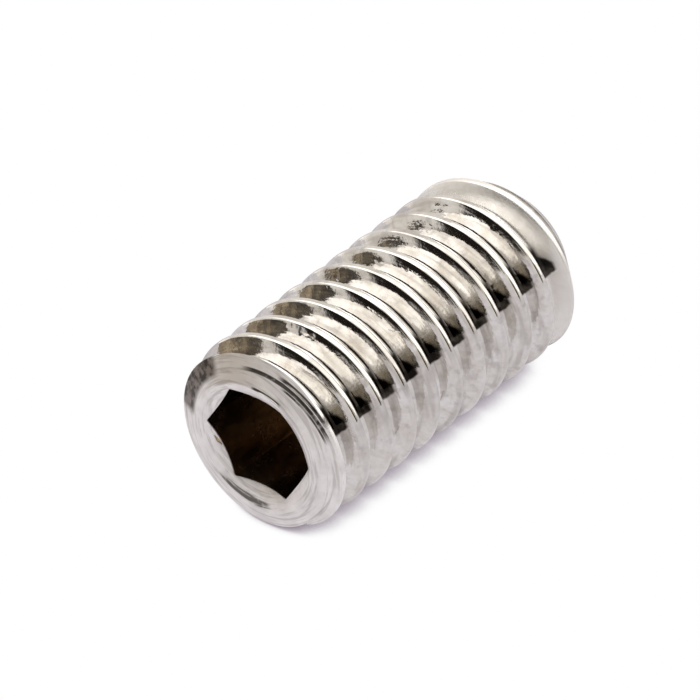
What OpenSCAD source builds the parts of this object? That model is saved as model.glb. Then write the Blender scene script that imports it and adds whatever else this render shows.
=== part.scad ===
// Grub set screw, M4 x 0.7, 8 mm long, with a hexagon socket and a flat point.
// It stands on its point: the axis is +Z, z = 0 is the flat of the point, the socket opens upward.

/* [Thread] */

// Diameter over the rounded crests
thread_d = 3.9; // [3.8:0.02:4]

// Rise of one turn
pitch = 0.7; // [0.6:0.05:0.8]

// Width of the flat left along the crests
crest_flat = 0.04; // [0.02:0.01:0.1]

// Radius that rounds both sides of a crest
crest_r = 0.12; // [0.08:0.01:0.14]

// Radius that rounds the roots
root_r = 0.07; // [0.05:0.01:0.1]

// Turn of the whole thread about the axis
thread_turn = 50; // [0:5:355]

/* [Ends] */

// Overall length
length = 8; // [5:0.5:12]

// Diameter of the flat point
point_d = 2.5; // [2:0.1:2.8]

// Width of the flat ring around the socket's mouth
ring_w = 0.11; // [0.05:0.01:0.2]

// Slope of the chamfer at the socket end, from the plane of the ring
face_slope = 24.5; // [20:0.5:50]

/* [Socket] */

// Width across the flats, for a 2 mm key
socket_af = 2.12; // [1.6:0.02:2.2]

// Depth of the six flats
socket_depth = 2.5; // [1.5:0.1:3]

// How much wider than the hexagon's corners the countersunk mouth is
mouth_extra = 0.2; // [0.02:0.01:0.3]

// Full angle of the countersink and of the drilled bottom
cone_angle = 120; // [90:5:120]

/* [Hidden] */

over = 0.05;       // how far a cutter runs past the face it cuts
sectors = 36;      // sections in one turn of the thread
crest_cuts = 2;    // chords across each rounded side of a crest
root_cuts = 2;     // chords across a rounded root
flank = 60;        // angle between a flank's normal and the radius

// The thread's section over one pitch, as [radius, height], from the foot of one crest to the next.
crest_tip = thread_d / 2 + crest_r;          // where the two flanks of a crest would meet
root_tip = crest_tip - (pitch - crest_flat) * cos(30);   // where the flanks of a root would meet
section = concat(
    [for (side = [-1, 1]) for (i = [0:crest_cuts])
        let (a = side > 0 ? flank * i / crest_cuts : flank * (i / crest_cuts - 1))
            [crest_tip - 2 * crest_r + crest_r * cos(a), crest_r * sin(a) + side * crest_flat / 2]],
    [for (i = [0:root_cuts]) let (a = flank * (2 * i / root_cuts - 1))
        [root_tip + 2 * root_r - root_r * cos(a), pitch / 2 + root_r * sin(a)]]
);

cuts = len(section);                         // rows of points in one turn
turns = ceil(length / pitch) + 2;            // the rod is longer than the screw at both ends
rows = turns * cuts;
rod_z = -1.5 * pitch;                        // height at which the rod starts
blank_r = thread_d / 2 + over;               // the blank is wider than the crests

cone_slope = tan(cone_angle / 2);            // radius gained for each millimetre of height
corner_r = socket_af / 2 / cos(30);
mouth_r = corner_r + mouth_extra / 2;
face_r = mouth_r + ring_w;
drill_r = socket_af / 2 - over;              // the drill is a little narrower than the hexagon

// Number of the point in a row and a sector; a row that has gone once round is one turn higher.
function id(row, sector) =
    sector == sectors ? (row + cuts) * sectors : row * sectors + sector;

function rod_points() = concat(
    [for (row = [0:rows]) for (sector = [0:sectors - 1])
        let (p = section[row % cuts], part = sector / sectors)
        [p[0] * cos(360 * part), p[0] * sin(360 * part),
         rod_z + p[1] + pitch * (floor(row / cuts) + part)]],
    [[0, 0, rod_z - pitch], [0, 0, rod_z + pitch * (turns + 2)]]
);

function fan(loop, tip) =
    [for (i = [0:len(loop) - 1]) [loop[i], loop[(i + 1) % len(loop)], tip]];

function rod_faces() = concat(
    [for (row = [0:rows - 1]) for (sector = [0:sectors - 1])
        if (sector < sectors - 1 || row < rows - cuts)
            for (face = [[id(row, sector), id(row + 1, sector), id(row + 1, sector + 1)],
                         [id(row, sector), id(row + 1, sector + 1), id(row, sector + 1)]]) face],
    fan(concat([for (sector = [0:sectors - 1]) id(0, sector)],
               [for (row = [cuts:-1:1]) id(row, 0)]),
        (rows + 1) * sectors),
    fan(concat([id(rows, 0)],
               [for (row = [rows - cuts:rows - 1]) id(row, sectors - 1)],
               [for (sector = [sectors - 1:-1:1]) id(rows, sector)]),
        (rows + 1) * sectors + 1)
);

// Right-hand threaded rod with rounded crests and roots
module rod() {
    polyhedron(rod_points(), rod_faces());
}

// Turned outline: flat point with a 45 degree chamfer, and the flat ring of the socket end
module blank() {
    rotate_extrude($fn = 96) polygon([
        [0, 0],
        [point_d / 2, 0],
        [blank_r, blank_r - point_d / 2],
        [blank_r, length - (blank_r - face_r) * tan(face_slope)],
        [face_r, length],
        [0, length]
    ]);
}

// Hexagon with a corner toward -Y, a drilled bottom and a countersunk mouth
module socket() {
    translate([0, 0, length - socket_depth]) {
        rotate([0, 0, 30])
            cylinder(r = corner_r, h = socket_depth + over, $fn = 6);
        rotate_extrude($fn = 96)
            polygon([[0, -drill_r / cone_slope], [drill_r, 0], [drill_r, over], [0, over]]);
    }
    translate([0, 0, length])
        rotate_extrude($fn = 96)
            polygon([[0, -mouth_r / cone_slope], [mouth_r + over * cone_slope, over], [0, over]]);
}

module set_screw() {
    color("silver") difference() {
        rotate([0, 0, thread_turn]) intersection() {
            rod();
            // the seam of the turned outline falls between two sections of the thread
            rotate([0, 0, 180 / sectors]) blank();
        }
        socket();
    }
}

set_screw();
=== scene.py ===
"""Grub set screw, M4 x 0.7, 8 mm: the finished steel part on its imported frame."""
import math

import bpy
from mathutils import Matrix, Vector


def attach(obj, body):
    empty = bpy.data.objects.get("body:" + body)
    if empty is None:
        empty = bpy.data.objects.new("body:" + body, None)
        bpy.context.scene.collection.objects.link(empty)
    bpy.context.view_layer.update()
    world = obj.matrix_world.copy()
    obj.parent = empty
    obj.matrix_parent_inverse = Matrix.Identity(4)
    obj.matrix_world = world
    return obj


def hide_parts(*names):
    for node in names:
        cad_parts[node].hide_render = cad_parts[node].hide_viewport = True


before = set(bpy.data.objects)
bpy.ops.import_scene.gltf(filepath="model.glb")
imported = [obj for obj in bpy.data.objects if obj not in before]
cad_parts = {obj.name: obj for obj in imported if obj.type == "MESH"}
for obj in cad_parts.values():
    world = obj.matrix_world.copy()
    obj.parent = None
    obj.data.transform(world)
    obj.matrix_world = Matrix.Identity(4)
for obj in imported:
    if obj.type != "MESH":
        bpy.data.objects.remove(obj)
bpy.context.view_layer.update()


def outward(degrees):
    """Unit vector square to the screw's axis, turned from +X by degrees."""
    turn = math.radians(degrees)
    return Vector((math.cos(turn), math.sin(turn), 0))


# ---------------------------------------------------------------- sizes, in millimetres and degrees
MM = 0.001                                # metres in a millimetre
THREAD_D = 3.9                            # over the crests
PITCH = 0.7
LENGTH = 8.0
CREST_FLAT = 0.04                         # flat left along a crest
CREST_R = 0.07                            # rounding of both its sides
ROOT_R = 0.12
FLANK = 60                                # between a flank's normal and the radius
THREAD_TURN = 50                          # turn of the whole thread about the axis
POINT_D = 2.5                             # flat of the point
POINT_EDGE_R = 0.06
SOCKET_AF = 2.12                          # across the six flats
SOCKET_DEPTH = 2.5
SOCKET_FLOOR = LENGTH - SOCKET_DEPTH
SOCKET_CORNER_W = 0.03                    # how far a corner's rounding reaches along the flats
COS_30 = math.cos(math.radians(30))
CORNER_R = SOCKET_AF / 2 / COS_30
MOUTH_R = CORNER_R + 0.1                  # countersunk mouth
RING_R = MOUTH_R + 0.11                   # flat ring outside it
RING_EDGE_R = 0.05
DRILL_R = SOCKET_AF / 2 - 0.05
FACE_SLOPE = 24.5                         # chamfer of the socket end, from the plane of the ring
CONE_SLOPE = math.tan(math.radians(60))   # radius gained for each millimetre of height
ROUND_STEPS = 96                          # chords in a full turn
WELD = 1e-4                               # points closer than this are one
SLIVER = 2e-4                             # faces thinner than this are closed up
SMOOTH_ANGLE = 32                         # edges sharper than this stay sharp

AXIS = Vector((0, 0, 1))
FACING = outward(-97.74)                  # side of the barrel toward the lens
TABLE_UP = outward(-53.7)                 # away from the table that the screw lies on
SIDE = AXIS.cross(FACING) * -1            # square to the axis and to FACING

# the socket end was turned and broached a little off the thread's axis
CHAMFER_SHIFT = SIDE * 0.10 - FACING * 0.02
MOUTH_SHIFT = SIDE * 0.13 + FACING * 0.016
SOCKET_SHIFT = SIDE * 0.034 + FACING * 0.06
SOCKET_TURN = 2.3

# the last groove ends in an unrolled land on one side, and folded metal leaves seams round the other
LAND_R = 1.81
LAND_LOW = 7.64
LAND_EDGE_W = 0.06
LAND_SHIFT = -FACING * 0.11 - SIDE * 0.03
SEAM_SHIFT = FACING * 0.04 + SIDE * 0.19

# each scratch: a width, then points along it as distance from the axis, turn from FACING toward SIDE, height
GOUGES = [
    # step left round the socket's ring
    (0.05, [(1.36, -37, 7.995), (1.362, -30, 7.995), (1.372, -22, 7.992), (1.4, -15, 7.988),
            (1.43, -7, 7.982)]),
    # seam of the folded last thread, and the second line outside it
    (0.055, [(1.644, -53.2, 7.858), (1.664, -43, 7.852), (1.695, -33.2, 7.844), (1.748, -19.2, 7.829),
             (1.785, -6.1, 7.822), (1.818, 4.8, 7.815), (1.864, 16.4, 7.804), (1.9, 23, 7.79)]),
    (0.06, [(1.8, -24, 7.8), (1.826, -14.5, 7.797), (1.855, -4.5, 7.79), (1.9, 4.1, 7.77), (1.94, 13, 7.73)]),
    # nick of the socket's mouth
    (0.08, [(1.085, -145.7, 7.915), (1.039, -153.5, 7.881), (1.005, -159.1, 7.855)]),
    # nicks of the barrel
    (0.05, [(1.776, -6.9, 5.136), (1.829, -3.6, 5.099), (1.897, -1.0, 5.055)]),
    (0.05, [(1.661, 59.7, 5.773), (1.722, 52.0, 5.753)]),
    (0.05, [(1.644, 62.3, 4.379), (1.68, 52.7, 4.376)]),
    (0.045, [(1.78, 36.4, 3.65), (1.949, 33.6, 3.521)]),
    (0.045, [(1.71, 10.5, 3.741), (1.942, 5.3, 3.603)]),
]


def direction(az, el):
    """Turned about the axis from FACING toward SIDE by az, and tilted up toward the socket end by el."""
    a, e = math.radians(az), math.radians(el)
    return (FACING * math.cos(a) + SIDE * math.sin(a)) * math.cos(e) + AXIS * math.sin(e)


# ---------------------------------------------------------------- camera
LENS_ANGLE = 52.0                         # between the line of sight and the screw's axis
LENS_ROLL = 36.9                          # about the line of sight
LENS_DISTANCE = 140
SENSOR_W = 36
FRAME_W = 13.3588                         # width that the lens takes in at the screw
MIDDLE_RIGHT, MIDDLE_UP = 0.7099, 0.1031  # the barrel's middle, from the centre of the frame


def add_lens():
    """Camera that looks down on the socket end."""
    t, r = math.radians(LENS_ANGLE), math.radians(LENS_ROLL)
    aim = -(AXIS * math.cos(t) + FACING * math.sin(t))
    along = FACING * math.cos(t) - AXIS * math.sin(t)
    across = aim.cross(along)
    right = along * math.cos(r) + across * math.sin(r)
    up = along * math.sin(r) - across * math.cos(r)
    middle = AXIS * (LENGTH / 2)
    eye = middle - aim * LENS_DISTANCE
    target = middle - right * MIDDLE_RIGHT - up * MIDDLE_UP
    back = (eye - target).normalized()
    right = up.cross(back).normalized()
    up = back.cross(right)
    data = bpy.data.cameras.new("lens")
    cam = bpy.data.objects.new("lens", data)
    bpy.context.scene.collection.objects.link(cam)
    pose = Matrix((right, up, back)).transposed().to_4x4()
    pose.translation = eye * MM
    cam.matrix_world = pose
    data.sensor_width = SENSOR_W
    data.lens = SENSOR_W * LENS_DISTANCE / FRAME_W
    data.clip_start, data.clip_end = 0.005, 5
    bpy.context.scene.camera = cam


add_lens()


# ---------------------------------------------------------------- modelling helpers
def object_mode():
    bpy.ops.object.mode_set(mode="OBJECT")


def deselect():
    if bpy.context.object and bpy.context.object.mode != "OBJECT":
        object_mode()
    bpy.ops.object.select_all(action="DESELECT")


def pick(obj):
    """Leaves obj alone selected and active."""
    deselect()
    obj.select_set(True)
    bpy.context.view_layer.objects.active = obj


def edit_all(obj):
    """Opens obj in edit mode with its whole mesh selected."""
    pick(obj)
    bpy.ops.object.mode_set(mode="EDIT")
    bpy.ops.mesh.select_all(action="SELECT")


def draw_line(name, points):
    """An open chain of edges through (radius, height) or (x, y, z) points, drawn vertex after vertex."""
    points = [Vector(p) if len(p) == 3 else Vector((p[0], 0, p[1])) for p in points]
    deselect()
    bpy.ops.mesh.primitive_plane_add(size=1, location=(0, 0, 0))
    line = bpy.context.object
    line.name = name
    bpy.ops.object.mode_set(mode="EDIT")
    bpy.ops.mesh.select_mode(type="VERT")
    bpy.ops.mesh.select_all(action="SELECT")
    bpy.ops.mesh.merge(type="CENTER")
    bpy.ops.mesh.select_all(action="SELECT")
    bpy.ops.transform.translate(value=points[0])
    for here, there in zip(points, points[1:]):
        bpy.ops.mesh.extrude_vertices_move(TRANSFORM_OT_translate={"value": there - here})
    object_mode()
    return line


def apply_modifiers(obj):
    bpy.context.view_layer.objects.active = obj
    for modifier in list(obj.modifiers):
        bpy.ops.object.modifier_apply(modifier=modifier.name)


def tidy_shell(obj):
    """Welds the seams of a turned or swept shell and points its faces outwards."""
    edit_all(obj)
    bpy.ops.mesh.remove_doubles(threshold=WELD)
    bpy.ops.mesh.normals_make_consistent(inside=False)
    object_mode()


def clear_slivers(obj):
    """Closes the hair-thin faces that cutters leave where they graze each other."""
    edit_all(obj)
    bpy.ops.mesh.remove_doubles(threshold=SLIVER)
    bpy.ops.mesh.select_all(action="SELECT")
    bpy.ops.mesh.dissolve_degenerate(threshold=SLIVER)
    bpy.ops.mesh.select_all(action="SELECT")
    bpy.ops.mesh.delete_loose()
    object_mode()


def turn_profile(name, points):
    """A solid of revolution about Z from an outline that starts and ends on the axis."""
    obj = draw_line(name, points)
    edit_all(obj)
    bpy.ops.mesh.spin(steps=ROUND_STEPS, angle=math.tau, center=(0, 0, 0), axis=(0, 0, 1))
    object_mode()
    tidy_shell(obj)
    return obj


def turn_mesh(obj, degrees):
    """Turns the mesh about the axis; with no window the operator turns the other way, hence the sign."""
    edit_all(obj)
    bpy.ops.transform.rotate(value=-math.radians(degrees), orient_axis="Z", center_override=(0, 0, 0))
    object_mode()


def shift(obj, offset):
    pick(obj)
    obj.location = offset
    bpy.ops.object.transform_apply(location=True, rotation=False, scale=False)


def combine(body, tool, operation):
    """Boolean of body with tool; the tool is used up."""
    modifier = body.modifiers.new(operation.lower(), "BOOLEAN")
    modifier.operation = operation
    modifier.solver = "MANIFOLD"
    modifier.object = tool
    pick(body)
    bpy.ops.object.modifier_apply(modifier=modifier.name)
    bpy.data.objects.remove(tool)


def arc(centre_r, centre_z, r, start, end, chords):
    """Points (radius, height) along an arc between two angles, which are measured from straight out."""
    angles = [math.radians(start + (end - start) * i / chords) for i in range(chords + 1)]
    return [(centre_r + r * math.cos(a), centre_z + r * math.sin(a)) for a in angles]


def between(here, there):
    """Three points that divide the straight from here to there evenly."""
    (r0, z0), (r1, z1) = here, there
    return [(r0 + (r1 - r0) * t, z0 + (z1 - z0) * t) for t in (0.25, 0.5, 0.75)]


# ---------------------------------------------------------------- the threaded rod
def thread_section():
    """Outline of the thread over one pitch, as (radius, height), from the foot of one crest to the next."""
    chords = 6
    half_flat = CREST_FLAT / 2
    crest_tip = THREAD_D / 2 + CREST_R           # where the two flanks of a crest would meet
    root_tip = crest_tip - (PITCH - CREST_FLAT) * COS_30
    crest_r = crest_tip - 2 * CREST_R
    crest = ([(r, z - half_flat) for r, z in arc(crest_r, 0, CREST_R, -FLANK, 0, chords)]
             + [(r, z + half_flat) for r, z in arc(crest_r, 0, CREST_R, 0, FLANK, chords)])
    root = arc(root_tip + 2 * ROOT_R, PITCH / 2, ROOT_R, 180 + FLANK, 180 - FLANK, chords)
    next_crest = (crest[0][0], crest[0][1] + PITCH)
    return crest + between(crest[-1], root[0]) + root + between(root[-1], next_crest) + [next_crest]


def threaded_rod():
    """Right-hand threaded rod, longer than the screw at both ends."""
    rod = draw_line("threaded_rod", [(r, z - 1.5 * PITCH) for r, z in thread_section()])
    thread = rod.modifiers.new("thread", "SCREW")
    thread.axis = "Z"
    thread.angle = math.tau
    thread.screw_offset = PITCH
    thread.iterations = math.ceil(LENGTH / PITCH) + 3
    thread.steps = thread.render_steps = ROUND_STEPS
    thread.use_merge_vertices = True
    thread.merge_threshold = WELD
    apply_modifiers(rod)
    edit_all(rod)
    bpy.ops.mesh.remove_doubles(threshold=WELD)
    bpy.ops.mesh.select_all(action="DESELECT")
    bpy.ops.mesh.select_non_manifold()           # the open loops at both ends, each drawn in to a point
    bpy.ops.mesh.extrude_region_move()
    bpy.ops.mesh.merge(type="COLLAPSE")
    bpy.ops.mesh.select_all(action="SELECT")
    bpy.ops.mesh.normals_make_consistent(inside=False)
    turn_mesh(rod, THREAD_TURN)
    return rod


# ---------------------------------------------------------------- the ends and the socket
def point_blank():
    """Turned outline of the point end: a flat with a rounded edge, and a 45 degree chamfer."""
    wide = THREAD_D / 2 + 0.0005                 # clears the crests
    inset = 0.025                                # of the edge's arc from its sharp corner
    top = LENGTH + 1
    edge = arc(POINT_D / 2 - inset, POINT_EDGE_R, POINT_EDGE_R, -90, -45, 4)
    return turn_profile("point_blank", [(0, 0)] + edge + [(wide, wide - POINT_D / 2), (wide, top), (0, top)])


def socket_blank():
    """Turned outline of the socket end: the flat ring and the shallow chamfer outside it."""
    wide = THREAD_D / 2 + 0.6
    low = -1
    inset = 0.02                                 # of the ring's rounded edge from its sharp corner
    edge = arc(RING_R - inset, LENGTH - RING_EDGE_R, RING_EDGE_R, 90 - FACE_SLOPE, 90, 4)
    drop = (wide - RING_R) * math.tan(math.radians(FACE_SLOPE))
    return turn_profile("socket_blank", [(0, low), (wide, low), (wide, LENGTH - drop)] + edge + [(0, LENGTH)])


def end_land():
    """The unrolled land that closes the last groove, on the side where the blank was widest."""
    top = LENGTH + 0.5
    return turn_profile("end_land", [(0, LAND_LOW), (LAND_R - LAND_EDGE_W, LAND_LOW),
                                     (LAND_R, LAND_LOW + LAND_EDGE_W), (LAND_R, top), (0, top)])


def hexagon_cutter():
    """Six flats with barely rounded corners."""
    deselect()
    tall = SOCKET_DEPTH + 1
    bpy.ops.mesh.primitive_cylinder_add(vertices=6, radius=CORNER_R, depth=tall,
                                        location=(0, 0, SOCKET_FLOOR + tall / 2))
    cutter = bpy.context.object
    cutter.name = "hexagon_cutter"
    bpy.ops.object.transform_apply(location=True, rotation=True, scale=True)
    bevel = cutter.modifiers.new("corner", "BEVEL")
    bevel.width = SOCKET_CORNER_W
    bevel.segments = 3
    bevel.limit_method = "ANGLE"
    bevel.angle_limit = math.radians(50)
    turn_mesh(cutter, SOCKET_TURN)
    apply_modifiers(cutter)
    return cutter


def drill_cutter():
    """The drilled bottom below the flats."""
    over = SOCKET_FLOOR + 0.05
    return turn_profile("drill_cutter", [(0, SOCKET_FLOOR - DRILL_R / CONE_SLOPE), (DRILL_R, SOCKET_FLOOR),
                                         (DRILL_R, over), (0, over)])


def countersink_cutter():
    rise = 0.3
    top = LENGTH + rise
    return turn_profile("countersink_cutter", [(0, LENGTH - MOUTH_R / CONE_SLOPE),
                                               (MOUTH_R + rise * CONE_SLOPE, top), (0, top)])


def gouge(width, points):
    """Cutter of a scratch: a round bar along the points, tapered toward its ends."""
    def spot(r, turn, z):
        a = math.radians(turn)
        return FACING * (r * math.cos(a)) + SIDE * (r * math.sin(a)) + AXIS * z

    bar = draw_line("gouge", [spot(*point) for point in points])
    bpy.ops.object.convert(target="CURVE")
    bar = bpy.context.object
    bar.data.bevel_depth = width / 2
    bar.data.bevel_resolution = 2
    bar.data.use_fill_caps = True
    spine = bar.data.splines[0].points
    for end in (spine[0], spine[-1]):
        end.radius = 0.25
    bpy.ops.object.convert(target="MESH")
    bar = bpy.context.object
    tidy_shell(bar)
    return bar


def set_screw():
    """The whole screw: the rod cut to length by its two end shapes, then broached, bored and countersunk."""
    screw = threaded_rod()
    for make, offset, operation in ((end_land, LAND_SHIFT, "UNION"),
                                    (point_blank, Vector(), "INTERSECT"),
                                    (socket_blank, CHAMFER_SHIFT, "INTERSECT"),
                                    (hexagon_cutter, SOCKET_SHIFT, "DIFFERENCE"),
                                    (drill_cutter, SOCKET_SHIFT, "DIFFERENCE"),
                                    (countersink_cutter, MOUTH_SHIFT, "DIFFERENCE")):
        tool = make()
        shift(tool, offset)
        combine(screw, tool, operation)
    for width, points in GOUGES:
        combine(screw, gouge(width, points), "DIFFERENCE")
    clear_slivers(screw)
    pick(screw)
    screw.scale = (MM, MM, MM)
    bpy.ops.object.transform_apply(location=False, rotation=False, scale=True)
    bpy.ops.object.shade_smooth_by_angle(angle=math.radians(SMOOTH_ANGLE))
    screw.name = screw.data.name = "screw_body"
    return screw


screw = set_screw()
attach(screw, "root")
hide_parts("set_screw")


# ---------------------------------------------------------------- node helper
class Net:
    """Adds nodes to a tree; an input is a value or another node's output."""

    def __init__(self, tree):
        self.tree = tree

    def add(self, kind, inputs=None, **settings):
        node = self.tree.nodes.new(kind)
        for name, value in settings.items():
            setattr(node, name, value)
        for name, value in (inputs or {}).items():
            if isinstance(value, bpy.types.NodeSocket):
                self.tree.links.new(value, node.inputs[name])
            else:
                node.inputs[name].default_value = value
        return node

    def math(self, operation, a, b=0.0, clamp=False):
        return self.add("ShaderNodeMath", {0: a, 1: b}, operation=operation, use_clamp=clamp).outputs[0]

    def product(self, result, *factors):
        for factor in factors:
            result = self.math("MULTIPLY", result, factor)
        return result

    def total(self, result, *terms):
        for term in terms:
            result = self.math("ADD", result, term)
        return result

    def vector(self, operation, a, b=(0, 0, 0)):
        return self.add("ShaderNodeVectorMath", {0: a, 1: b}, operation=operation).outputs

    def dot(self, a, b):
        return self.vector("DOT_PRODUCT", a, b)["Value"]

    def compose(self, x=0.0, y=0.0, z=0.0):
        return self.add("ShaderNodeCombineXYZ", {0: x, 1: y, 2: z}).outputs[0]

    def ramp(self, value, low, high, a=0.0, b=1.0):
        """Soft step from a at low to b at high."""
        limits = {"Value": value, "From Min": low, "From Max": high, "To Min": a, "To Max": b}
        return self.add("ShaderNodeMapRange", limits, interpolation_type="SMOOTHSTEP").outputs["Result"]

    def noise(self, place, scale, detail, rough):
        settings = {"Vector": place, "Scale": scale, "Detail": detail, "Roughness": rough}
        return self.add("ShaderNodeTexNoise", settings).outputs["Fac"]

    def mix(self, amount, a, b, blend="MIX"):
        """Colour a, turning to b as amount rises to 1."""
        node = self.add("ShaderNodeMix", {"Factor": amount}, data_type="RGBA", blend_type=blend)
        for socket, value in ((node.inputs[6], a), (node.inputs[7], b)):
            if isinstance(value, bpy.types.NodeSocket):
                self.tree.links.new(value, socket)
            else:
                socket.default_value = (*value, 1)
        return node.outputs[2]


def facing_mask(n, vector, middle, inner, outer):
    """Mask of the directions within inner degrees of middle, gone at outer degrees."""
    return n.ramp(n.dot(vector, middle), math.cos(math.radians(outer)), math.cos(math.radians(inner)))


# ---------------------------------------------------------------- steel
# colours of each finish, and of the painted shade, glare and dark reflection; where there are two, it varies
# between them
ROLLED = (0.84, 0.825, 0.805), (0.74, 0.71, 0.66)
DIE_LINES = (0.55, 0.52, 0.49)
SMUDGES = (0.42, 0.39, 0.38)
GRAIN = (0.35, 0.33, 0.31)
# the point end whitened: painted glare, washed out as by the light behind it
POINT_PAINTED_GLARE = (0.95, 0.93, 0.90)
POINT_CHAMFER = (0.62, 0.60, 0.58), (0.40, 0.38, 0.36)
TURNED_FACE = (1.0, 0.98, 0.965), (0.86, 0.83, 0.825)
TOOL_MARKS = (0.56, 0.53, 0.51)
# black of the grooves: residue, and over the flanks a painted dark reflection
RESIDUE_AND_DARK_REFLECTION = (0.018, 0.015, 0.013), (0.075, 0.065, 0.052)
# dark of the cut lines round the socket end: dirt, with painted shade in the seams
DIRT_AND_CREASE_SHADE = (0.05, 0.04, 0.03)
# dark of the torn patch: a painted dark reflection
TORN_DARK_REFLECTION = (0.06, 0.05, 0.04), (0.26, 0.225, 0.20)
# walls of the socket, painted dark brown as the shade of the hole
SOCKET_WALLS_PAINTED_SHADE = (0.12, 0.09, 0.06), (0.62, 0.48, 0.33)

# where each finish ends, in millimetres: it shows from the first figure and is whole at the second
SOCKET_EDGE = 1.42, 1.38                   # distance from the axis
WALLS_FOOT = 4.8, 4.9                      # height, just below the drilled bottom
CONE_EDGE = LENGTH - 0.025, LENGTH - 0.01  # level of a cone that fits the countersink
FACE_FALL = 0.456                          # fall of the turned chamfer over a millimetre of its radius
FACE_EDGE = 8.46, 8.54                     # height, with that fall added back
POINT_EDGE = 1.5, 0.8                      # height
CHAMFER_EDGE = 0.72, 0.62                  # height
TORN_EDGE = 1.42, 1.56                     # distance from the axis
BELT_EDGES = (0.04, 0.28), (0.845, 0.80)   # distance toward SIDE, of both edges of the belt of residue and painted dark reflection
GROOVE_EDGE = 1.65, 1.58                   # distance from the axis

# dirt and painted shade in the lines round the socket end: radius, width, turn of its middle from FACING,
# reach to each side in degrees
RING_LINE = 1.43, 0.06, -26, 16
RING_SMEAR = 1.30, 0.20, 152, 30
SEAM_LINES = [(1.764, 0.09, -13, 42), (1.85, 0.08, -3, 22), (1.70, 0.05, 4, 24)]
TORN_SIDE = -104, 30                       # turn of its middle and reach, as above


class ScrewNet(Net):
    """Places on the screw, in millimetres, and masks of where each finish lies."""

    def __init__(self, tree):
        super().__init__(tree)
        metres = self.add("ShaderNodeTexCoord").outputs["Object"]
        self.place = self.vector("MULTIPLY", metres, (1 / MM,) * 3)[0]
        x, y, self.z = self.add("ShaderNodeSeparateXYZ", {0: self.place}).outputs
        self.flat = self.compose(x, y)
        self.radius = self.math("SQRT", self.total(self.product(x, x), self.product(y, y)))
        self.around = self.vector("NORMALIZE", self.flat)[0]

        # marks of the lathe run round the end, of the dies along the thread, of the broach down the walls
        along = self.total(self.product(self.radius, 5), self.product(self.z, 1.3))
        self.faced = self.noise(self.wound(self.product(self.radius, 9)), 1.5, 3, 0.6)
        self.lines = self.noise(self.wound(along), 1.6, 2, 0.6)
        self.broached = self.noise(self.wound(self.product(self.z, 0.35)), 1.5, 3, 0.6)
        self.mottle = self.noise(self.place, 2.2, 4, 0.6)
        self.grain = self.noise(self.place, 9, 1, 0.5)

        # the level of a cone that fits the countersink: LENGTH all over the countersink, and more outside it
        mouth = self.vector("DISTANCE", self.flat, MOUTH_SHIFT)["Value"]
        level = self.total(self.z, self.product(self.math("SUBTRACT", MOUTH_R, mouth), 1 / CONE_SLOPE),
                           self.ramp(mouth, MOUTH_R - 0.01, MOUTH_R + 0.02, 0.0, 0.2))
        bore = self.ramp(self.radius, *SOCKET_EDGE)
        below_cone = self.ramp(level, *reversed(CONE_EDGE))
        self.walls = self.product(self.ramp(self.z, *WALLS_FOOT), below_cone, bore)
        face = self.ramp(self.total(self.z, self.product(self.radius, FACE_FALL)), *FACE_EDGE)
        self.turned = self.math("MAXIMUM", face, self.product(self.ramp(level, *CONE_EDGE), bore))
        self.point = self.ramp(self.z, *POINT_EDGE)
        self.drilled = self.ramp(self.z, SOCKET_FLOOR + 0.02, SOCKET_FLOOR - 0.02)
        # the torn patch of the chamfer, painted dark as a dark reflection
        self.torn_dark_reflection = self.product(self.turned, self.ramp(self.radius, *TORN_EDGE), self.sector(*TORN_SIDE))

    def wound(self, rise):
        """Place for a pattern that runs round the screw and changes with rise."""
        return self.vector("ADD", self.around, self.compose(z=rise))[0]

    def sector(self, middle, reach):
        """Mask of the side of the screw within reach degrees of the turn named."""
        return facing_mask(self, self.around, direction(middle, 0), reach * 0.7, reach)

    def stripe(self, centre, circle_r, width, middle, reach):
        """Mask of a line cut round the socket end."""
        off = self.vector("DISTANCE", self.flat, centre)["Value"]
        beside = self.math("ABSOLUTE", self.math("SUBTRACT", off, circle_r))
        line = self.ramp(beside, width * 0.5, width * 0.3)
        return self.product(self.turned, line, self.sector(middle, reach))

    def residue_and_dark_reflection(self):
        """Mask of the black deep in the grooves along one side of the barrel: residue of the rolling, and a
        painted dark reflection on the flanks.
        """
        barrel = self.math("SUBTRACT", 1.0, self.turned)
        barrel = self.math("SUBTRACT", barrel, self.ramp(self.z, 0.9, 0.7), clamp=True)
        uneven = self.product(self.noise(self.place, 8, 1, 0.5), 0.05)
        aside = self.total(self.dot(self.place, SIDE), uneven)
        ahead = self.dot(self.place, FACING)
        first, last = BELT_EDGES
        belt = self.product(self.ramp(aside, *first), self.ramp(aside, *last))
        belt = self.product(belt, self.product(barrel, self.ramp(ahead, 0.2, 0.6)))
        climb = self.ramp(aside, 0.38, 0.70, 0.0, 0.17)          # it climbs the flank toward SIDE
        return self.product(belt, self.ramp(self.math("SUBTRACT", self.radius, climb), *GROOVE_EDGE))

    def dirt_and_crease_shade(self):
        """Mask of the dark lines cut round the socket end: dirt, and painted shade down in the seams and the
        ring's step.
        """
        streaks = self.ramp(self.faced, 0.42, 0.56, 0.15, 0.85)
        smear = self.product(self.stripe(MOUTH_SHIFT, *RING_SMEAR), streaks)
        dirt_and_crease_shade = self.math("MAXIMUM", self.stripe(MOUTH_SHIFT, *RING_LINE), smear)
        for line in SEAM_LINES:
            dirt_and_crease_shade = self.math("MAXIMUM", dirt_and_crease_shade, self.stripe(SEAM_SHIFT, *line))
        return dirt_and_crease_shade


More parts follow.
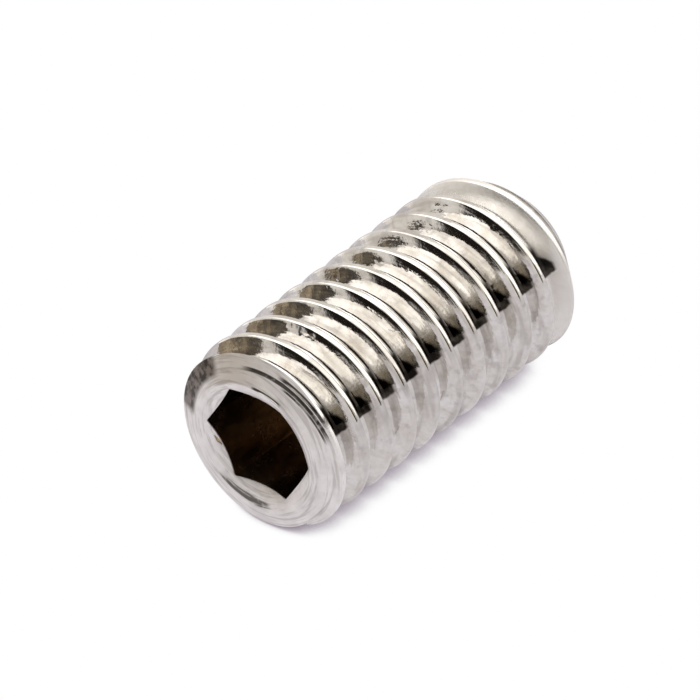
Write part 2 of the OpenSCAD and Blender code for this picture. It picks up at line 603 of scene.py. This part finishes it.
def steel_colour(n):
    """Colour of the rolled barrel, then over it the ends, the residue and the dirt, and the socket's walls,
    with glare, shade and dark reflections painted in.
    """
    patches = n.noise(n.place, 5, 2, 0.5)
    tint = n.mix(n.ramp(n.mottle, 0.35, 0.7), *ROLLED)
    tint = n.mix(n.ramp(n.lines, 0.45, 0.7, 0, 0.8), tint, DIE_LINES)
    tint = n.mix(n.ramp(n.noise(n.place, 3.5, 3, 0.6), 0.54, 0.68, 0, 0.4), tint, SMUDGES)
    tint = n.mix(n.ramp(n.grain, 0.3, 0.7, 0, 0.12), tint, GRAIN)
    # point end painted lighter as glare
    tint = n.mix(n.product(n.point, 0.8), tint, POINT_PAINTED_GLARE)
    tint = n.mix(n.ramp(n.z, *CHAMFER_EDGE), tint, n.mix(n.ramp(n.faced, 0.42, 0.62), *POINT_CHAMFER))
    face = n.mix(n.ramp(n.mottle, 0.3, 0.7), *TURNED_FACE)
    tint = n.mix(n.turned, tint, n.mix(n.ramp(n.faced, 0.48, 0.64, 0, 0.65), face, TOOL_MARKS))
    # black residue in the grooves, with a painted dark reflection on the flanks beside them
    tint = n.mix(n.residue_and_dark_reflection(), tint, n.mix(n.ramp(patches, 0.4, 0.65), *RESIDUE_AND_DARK_REFLECTION))
    # dirt and painted crease shade in the lines cut round the socket end
    tint = n.mix(n.product(n.dirt_and_crease_shade(), n.ramp(patches, 0.3, 0.45, 0.55, 0.95)), tint, DIRT_AND_CREASE_SHADE)
    # torn patch painted dark as a dark reflection
    tint = n.mix(n.torn_dark_reflection, tint, n.mix(n.ramp(n.noise(n.place, 6, 3, 0.6), 0.4, 0.6), *TORN_DARK_REFLECTION))
    marks = n.total(n.product(n.broached, n.math("SUBTRACT", 1.0, n.drilled)), n.product(n.faced, n.drilled))
    # socket's walls painted dark as the shade of the hole, with the broach marks lighter
    return n.mix(n.walls, tint, n.mix(n.ramp(marks, 0.40, 0.62), *SOCKET_WALLS_PAINTED_SHADE))


def steel_roughness(n):
    """Smooth where the dies rolled it, coarser where a tool turned or broached it."""
    rolled = n.total(n.ramp(n.grain, 0.3, 0.7, 0.05, 0.09), n.ramp(n.mottle, 0.4, 0.7, 0.0, 0.04))
    cut = n.total(n.product(n.turned, 0.30), n.product(n.walls, 0.16))
    return n.total(rolled, cut, n.product(n.point, 0.28))


def steel_relief(n):
    """Height of the fine marks, which are all but gone on the socket's walls."""
    dents = n.ramp(n.noise(n.place, 1.7, 2, 0.5), 0.63, 0.74)
    height = n.total(n.product(n.lines, 0.4), n.product(n.grain, 0.05), n.product(n.mottle, 0.7))
    height = n.math("SUBTRACT", height, n.product(dents, 0.4))
    return n.product(height, n.math("SUBTRACT", 1.0, n.product(n.walls, 0.93)))


def new_material(name, builder):
    """A material, a net of the builder's class over its nodes, and its Principled shader."""
    material = bpy.data.materials.new(name)
    material.use_nodes = True
    return material, builder(material.node_tree), material.node_tree.nodes["Principled BSDF"]


def steel():
    """Bare stainless steel: thread-rolled barrel, turned ends, broached socket; painted shade, glare and dark
    reflections in its colour.
    """
    material, n, shader = new_material("rolled_steel", ScrewNet)
    matt = n.math("MAXIMUM", n.product(n.point, 0.3), n.product(n.turned, 0.25))
    bump = n.add("ShaderNodeBump", {"Height": steel_relief(n), "Strength": 1.0, "Distance": 0.01 * MM})
    for socket, value in (("Base Color", steel_colour(n)), ("Metallic", n.math("SUBTRACT", 1.0, matt)),
                          ("Roughness", steel_roughness(n)), ("Normal", bump.outputs[0])):
        n.tree.links.new(value, shader.inputs[socket])
    return material


screw.data.materials.clear()
screw.data.materials.append(steel())


# ---------------------------------------------------------------- stage
TABLE_W = 300
TABLE_MATT = (0.8, 0.8, 0.82)
CONTACT_DARK, CONTACT_SHADE = (0.04, 0.03, 0.03), (0.37, 0.32, 0.375)
WHITE = (1.0, 1.0, 1.0)
MIRRORED_TABLE = (0.74, 0.71, 0.735)     # how much of the table's white the steel shows
FLAG_R = 4.8
FLAG_TURN, FLAG_OUT, FLAG_HIGH = -127, 9.4, 15.5
FLAG_AIM = 6                             # height on the axis that the flag faces
FLAG_BLACK = (0.02, 0.018, 0.015)
FLAG_GLOW = (0.02, 0.016, 0.012), (0.42, 0.33, 0.22)


def face_along(flat_piece, normal):
    """Turns a flat piece to face along normal, where it stands."""
    flat_piece.rotation_mode = "QUATERNION"
    flat_piece.rotation_quaternion = normal.to_track_quat("Z", "Y")
    bpy.ops.object.transform_apply(location=True, rotation=True, scale=True)


def white_table():
    """Glows white to the lens and in the steel, darkens in the contact shade, and is clear from below."""
    material, n, shader = new_material("white_table", Net)
    shader.inputs["Base Color"].default_value = (*TABLE_MATT, 1)
    shader.inputs["Roughness"].default_value = 0.8
    ray = n.add("ShaderNodeLightPath").outputs
    open_sky = n.add("ShaderNodeAmbientOcclusion", {"Distance": 1.3 * MM}, samples=24).outputs["AO"]
    shade = n.mix(n.ramp(open_sky, 0.04, 0.18), CONTACT_DARK, CONTACT_SHADE)
    shade = n.mix(n.ramp(open_sky, 0.17, 0.42), shade, WHITE)
    shade = n.mix(ray["Is Camera Ray"], n.mix(1.0, shade, MIRRORED_TABLE, "MULTIPLY"), shade)
    glow = n.add("ShaderNodeEmission", {"Color": shade, "Strength": 1.0}).outputs[0]
    shown = n.math("MAXIMUM", ray["Is Camera Ray"], ray["Is Glossy Ray"])
    shown = n.math("MAXIMUM", shown, ray["Is Transmission Ray"])
    lit = n.add("ShaderNodeMixShader", {0: shown, 1: shader.outputs[0], 2: glow}).outputs[0]
    below = n.add("ShaderNodeNewGeometry").outputs["Backfacing"]
    clear = n.add("ShaderNodeBsdfTransparent").outputs[0]
    out = n.add("ShaderNodeMixShader", {0: below, 1: lit, 2: clear}).outputs[0]
    n.tree.links.new(out, n.tree.nodes["Material Output"].inputs["Surface"])
    return material


def table():
    """White table that the screw lies on."""
    deselect()
    bpy.ops.mesh.primitive_plane_add(size=TABLE_W * MM, location=tuple(-TABLE_UP * (THREAD_D / 2) * MM))
    top = bpy.context.object
    top.name = "table_top"
    face_along(top, TABLE_UP)
    top.data.materials.append(white_table())


table()


def black_card(place):
    """Black card with a blotchy brown glow along one edge."""
    material, n, shader = new_material("black_card", Net)
    edge_way = direction(FLAG_TURN + 90, 0)
    spot = n.add("ShaderNodeTexCoord").outputs["Object"]
    across = n.dot(spot, edge_way * (1 / MM))
    middle = place.dot(edge_way)
    blotches = n.ramp(n.noise(spot, 700, 4, 0.7), 0.35, 0.60)
    glow = n.product(blotches, n.ramp(across, middle + 4.5, middle + 1.0))
    n.tree.links.new(n.mix(glow, *FLAG_GLOW), shader.inputs["Emission Color"])
    shader.inputs["Emission Strength"].default_value = 1
    shader.inputs["Base Color"].default_value = (*FLAG_BLACK, 1)
    shader.inputs["Roughness"].default_value = 0.9
    return material


def dark_flag():
    """A black card beside the socket end, unseen by the lens, that darkens the upper flanks nearest to it."""
    deselect()
    place = direction(FLAG_TURN, 0) * FLAG_OUT + AXIS * FLAG_HIGH
    bpy.ops.mesh.primitive_circle_add(vertices=48, radius=FLAG_R * MM, fill_type="NGON",
                                      location=tuple(place * MM))
    flag = bpy.context.object
    flag.name = "dark_flag"
    face_along(flag, AXIS * FLAG_AIM - place)
    flag.visible_camera = False
    flag.visible_shadow = False
    flag.visible_diffuse = False
    flag.data.materials.append(black_card(place))


dark_flag()


# each light or dark part of the room: where its middle lies (see direction), the angle it fills,
# the angle at which it has faded out, and its colour
ROOM = (0.80, 0.76, 0.71)
LIGHTS = [
    (-165, 0, 25, 45, (1.5, 1.44, 1.38)),          # back wall
    (95, 58, 20, 26, (1.25, 1.21, 1.20)),          # pale end of the room
    (-62, -58, 60, 67, (1.7, 1.65, 1.57)),         # window
    (-68, 0, 25, 40, (1.9, 1.85, 1.78)),           # top of the window
    (-110, -38, 20, 42, (0.85, 0.80, 0.74)),       # edge of the window
    (36, -19, 3, 22, (0.27, 0.235, 0.18)),         # shade low in front
    (-47, 54, 23, 30, (0.015, 0.012, 0.01)),       # dark things: overhead,
    (8, 71, 4, 13, (0.015, 0.012, 0.01)),          # at the very top,
    (-5, 32, 17, 25, (0.02, 0.015, 0.01)),         # about the lens,
    (34, -3, 9, 16, (0.015, 0.013, 0.012)),        # beside it,
    (58, -18, 9, 22, (0.015, 0.013, 0.012)),       # and in the corner
]


def surroundings():
    """A white studio: a bright side behind the screw, darker things above and in front of it."""
    world = bpy.data.worlds.new("studio")
    bpy.context.scene.world = world
    world.use_nodes = True
    n = Net(world.node_tree)
    toward = n.add("ShaderNodeTexCoord").outputs["Generated"]
    colour = n.add("ShaderNodeRGB").outputs[0]
    colour.default_value = (*ROOM, 1)
    for az, el, inner, outer, rgb in LIGHTS:
        colour = n.mix(facing_mask(n, toward, direction(az, el), inner, outer), colour, rgb)
    light = n.tree.nodes["Background"]
    n.tree.links.new(colour, light.inputs["Color"])
    white = n.add("ShaderNodeBackground", {"Color": (*WHITE, 1), "Strength": 1.0})
    seen = n.add("ShaderNodeLightPath").outputs["Is Camera Ray"]
    both = n.add("ShaderNodeMixShader", {0: seen, 1: light.outputs[0], 2: white.outputs[0]})
    n.tree.links.new(both.outputs[0], n.tree.nodes["World Output"].inputs["Surface"])


surroundings()

scene = bpy.context.scene
scene.view_settings.view_transform = "Standard"
